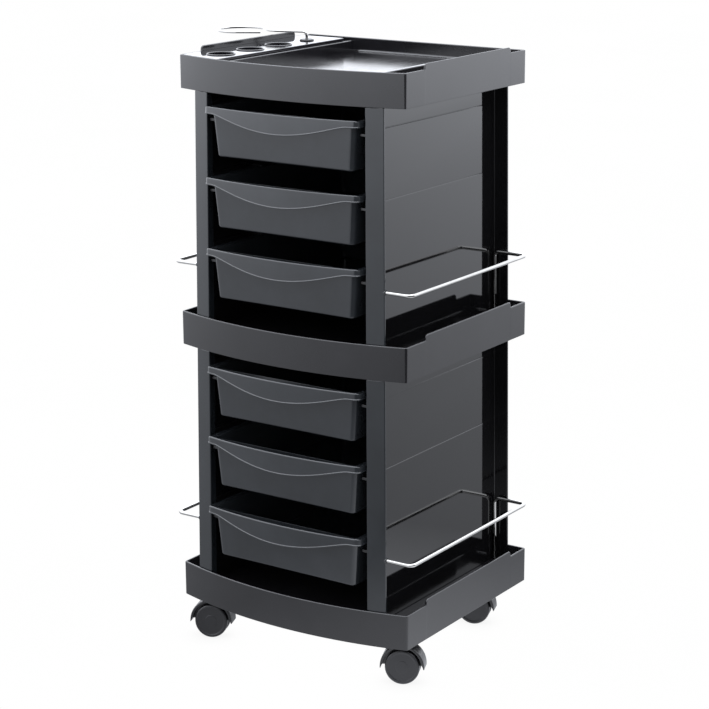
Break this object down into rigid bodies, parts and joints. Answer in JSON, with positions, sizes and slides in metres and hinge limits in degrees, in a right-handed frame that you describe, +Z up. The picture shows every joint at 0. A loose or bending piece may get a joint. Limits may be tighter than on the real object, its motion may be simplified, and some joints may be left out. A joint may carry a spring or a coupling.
{
  "type": "salon trolley",
  "caption": "Salon and spa trolley with three bowed trays, pull-out drawers, wire towel rails, a swivelling wire dryer holder and twin-wheel castors.",
  "frame": {"origin": "on the floor under the middle of the bounding box, 39 mm left of the middle of the trays because of the dryer holder", "axes": "+Z up, -Y towards the drawer fronts, +X to the right as seen from the front"},
  "size_m": [0.5036, 0.3544, 0.89],
  "materials": {
    "tray_plastic": "charcoal, glossy moulded",
    "panel_plastic": "black, high gloss",
    "drawer_plastic": "charcoal, satin gloss",
    "strip_plastic": "black, mirror gloss",
    "runner_plastic": "black, low sheen",
    "castor_plastic": "black moulded nylon",
    "wheel_tyre": "dark grey moulded wheel",
    "steel": "zinc plated",
    "chrome_wire": "bright chrome plated wire"
  },
  "bodies": {
    "trolley_frame": {"base_tray": "tray_plastic", "middle_tray": "tray_plastic", "top_tray": "tray_plastic", "accessory_strip": "strip_plastic", "dryer_holder_socket": "runner_plastic", "back_panel_upper": "panel_plastic", "front_post_upper_left": "panel_plastic", "side_panel_upper_left": "panel_plastic", "towel_rail_upper_left": "chrome_wire", "front_post_upper_right": "panel_plastic", "side_panel_upper_right": "panel_plastic", "towel_rail_upper_right": "chrome_wire", "back_panel_lower": "panel_plastic", "front_post_lower_left": "panel_plastic", "side_panel_lower_left": "panel_plastic", "towel_rail_lower_left": "chrome_wire", "front_post_lower_right": "panel_plastic", "side_panel_lower_right": "panel_plastic", "towel_rail_lower_right": "chrome_wire", "runner_1_left": "runner_plastic", "runner_1_right": "runner_plastic", "runner_2_left": "runner_plastic", "runner_2_right": "runner_plastic", "runner_3_left": "runner_plastic", "runner_3_right": "runner_plastic", "runner_4_left": "runner_plastic", "runner_4_right": "runner_plastic", "runner_5_left": "runner_plastic", "runner_5_right": "runner_plastic", "runner_6_left": "runner_plastic", "runner_6_right": "runner_plastic", "castor_front_right_stem": "steel", "castor_front_left_stem": "steel", "castor_rear_right_stem": "steel", "castor_rear_left_stem": "steel"},
    "drawer_1": {"drawer_1": "drawer_plastic"},
    "drawer_2": {"drawer_2": "drawer_plastic"},
    "drawer_3": {"drawer_3": "drawer_plastic"},
    "drawer_4": {"drawer_4": "drawer_plastic"},
    "drawer_5": {"drawer_5": "drawer_plastic"},
    "drawer_6": {"drawer_6": "drawer_plastic"},
    "dryer_holder": {"dryer_holder": "chrome_wire"},
    "castor_front_right": {"castor_front_right_hood": "castor_plastic", "castor_front_right_axle": "steel"},
    "castor_front_right_wheel_front": {"castor_front_right_wheel_front": "wheel_tyre"},
    "castor_front_right_wheel_back": {"castor_front_right_wheel_back": "wheel_tyre"},
    "castor_front_left": {"castor_front_left_hood": "castor_plastic", "castor_front_left_axle": "steel"},
    "castor_front_left_wheel_front": {"castor_front_left_wheel_front": "wheel_tyre"},
    "castor_front_left_wheel_back": {"castor_front_left_wheel_back": "wheel_tyre"},
    "castor_rear_right": {"castor_rear_right_hood": "castor_plastic", "castor_rear_right_axle": "steel"},
    "castor_rear_right_wheel_front": {"castor_rear_right_wheel_front": "wheel_tyre"},
    "castor_rear_right_wheel_back": {"castor_rear_right_wheel_back": "wheel_tyre"},
    "castor_rear_left": {"castor_rear_left_hood": "castor_plastic", "castor_rear_left_axle": "steel"},
    "castor_rear_left_wheel_front": {"castor_rear_left_wheel_front": "wheel_tyre"},
    "castor_rear_left_wheel_back": {"castor_rear_left_wheel_back": "wheel_tyre"}
  },
  "joints": [
    {"name": "drawer_1_slide", "type": "slide", "parent": "trolley_frame", "child": "drawer_1", "axis": [0, -1, 0], "range_m": [0, 0.22]},
    {"name": "drawer_2_slide", "type": "slide", "parent": "trolley_frame", "child": "drawer_2", "axis": [0, -1, 0], "range_m": [0, 0.22]},
    {"name": "drawer_3_slide", "type": "slide", "parent": "trolley_frame", "child": "drawer_3", "axis": [0, -1, 0], "range_m": [0, 0.22]},
    {"name": "drawer_4_slide", "type": "slide", "parent": "trolley_frame", "child": "drawer_4", "axis": [0, -1, 0], "range_m": [0, 0.22]},
    {"name": "drawer_5_slide", "type": "slide", "parent": "trolley_frame", "child": "drawer_5", "axis": [0, -1, 0], "range_m": [0, 0.22]},
    {"name": "drawer_6_slide", "type": "slide", "parent": "trolley_frame", "child": "drawer_6", "axis": [0, -1, 0], "range_m": [0, 0.22]},
    {"name": "dryer_holder_swivel", "type": "hinge", "parent": "trolley_frame", "child": "dryer_holder", "pos_m": [-0.10896, 0.09873, 0.88], "axis": [0, 0, 1], "range_deg": [-120, 120]},
    {"name": "swivel_front_right", "type": "hinge", "parent": "trolley_frame", "child": "castor_front_right", "pos_m": [0.19104, -0.10887, 0.06], "axis": [0, 0, 1], "continuous": true},
    {"name": "wheel_front_right_front", "type": "hinge", "parent": "castor_front_right", "child": "castor_front_right_wheel_front", "pos_m": [0.20652, -0.10185, 0.025], "axis": [-0.4131, 0.9107, 0], "continuous": true},
    {"name": "wheel_front_right_back", "type": "hinge", "parent": "castor_front_right", "child": "castor_front_right_wheel_back", "pos_m": [0.20652, -0.10185, 0.025], "axis": [-0.4131, 0.9107, 0], "continuous": true},
    {"name": "swivel_front_left", "type": "hinge", "parent": "trolley_frame", "child": "castor_front_left", "pos_m": [-0.11296, -0.10887, 0.06], "axis": [0, 0, 1], "continuous": true},
    {"name": "wheel_front_left_front", "type": "hinge", "parent": "castor_front_left", "child": "castor_front_left_wheel_front", "pos_m": [-0.1287, -0.11529, 0.025], "axis": [-0.3778, 0.9259, 0], "continuous": true},
    {"name": "wheel_front_left_back", "type": "hinge", "parent": "castor_front_left", "child": "castor_front_left_wheel_back", "pos_m": [-0.1287, -0.11529, 0.025], "axis": [-0.3778, 0.9259, 0], "continuous": true},
    {"name": "swivel_rear_right", "type": "hinge", "parent": "trolley_frame", "child": "castor_rear_right", "pos_m": [0.19104, 0.14163, 0.06], "axis": [0, 0, 1], "continuous": true},
    {"name": "wheel_rear_right_front", "type": "hinge", "parent": "castor_rear_right", "child": "castor_rear_right_wheel_front", "pos_m": [0.17505, 0.13584, 0.025], "axis": [-0.3404, 0.9403, 0], "continuous": true},
    {"name": "wheel_rear_right_back", "type": "hinge", "parent": "castor_rear_right", "child": "castor_rear_right_wheel_back", "pos_m": [0.17505, 0.13584, 0.025], "axis": [-0.3404, 0.9403, 0], "continuous": true},
    {"name": "swivel_rear_left", "type": "hinge", "parent": "trolley_frame", "child": "castor_rear_left", "pos_m": [-0.11296, 0.14163, 0.06], "axis": [0, 0, 1], "continuous": true},
    {"name": "wheel_rear_left_front", "type": "hinge", "parent": "castor_rear_left", "child": "castor_rear_left_wheel_front", "pos_m": [-0.12883, 0.13554, 0.025], "axis": [-0.3584, 0.9336, 0], "continuous": true},
    {"name": "wheel_rear_left_back", "type": "hinge", "parent": "castor_rear_left", "child": "castor_rear_left_wheel_back", "pos_m": [-0.12883, 0.13554, 0.025], "axis": [-0.3584, 0.9336, 0], "continuous": true}
  ]
}
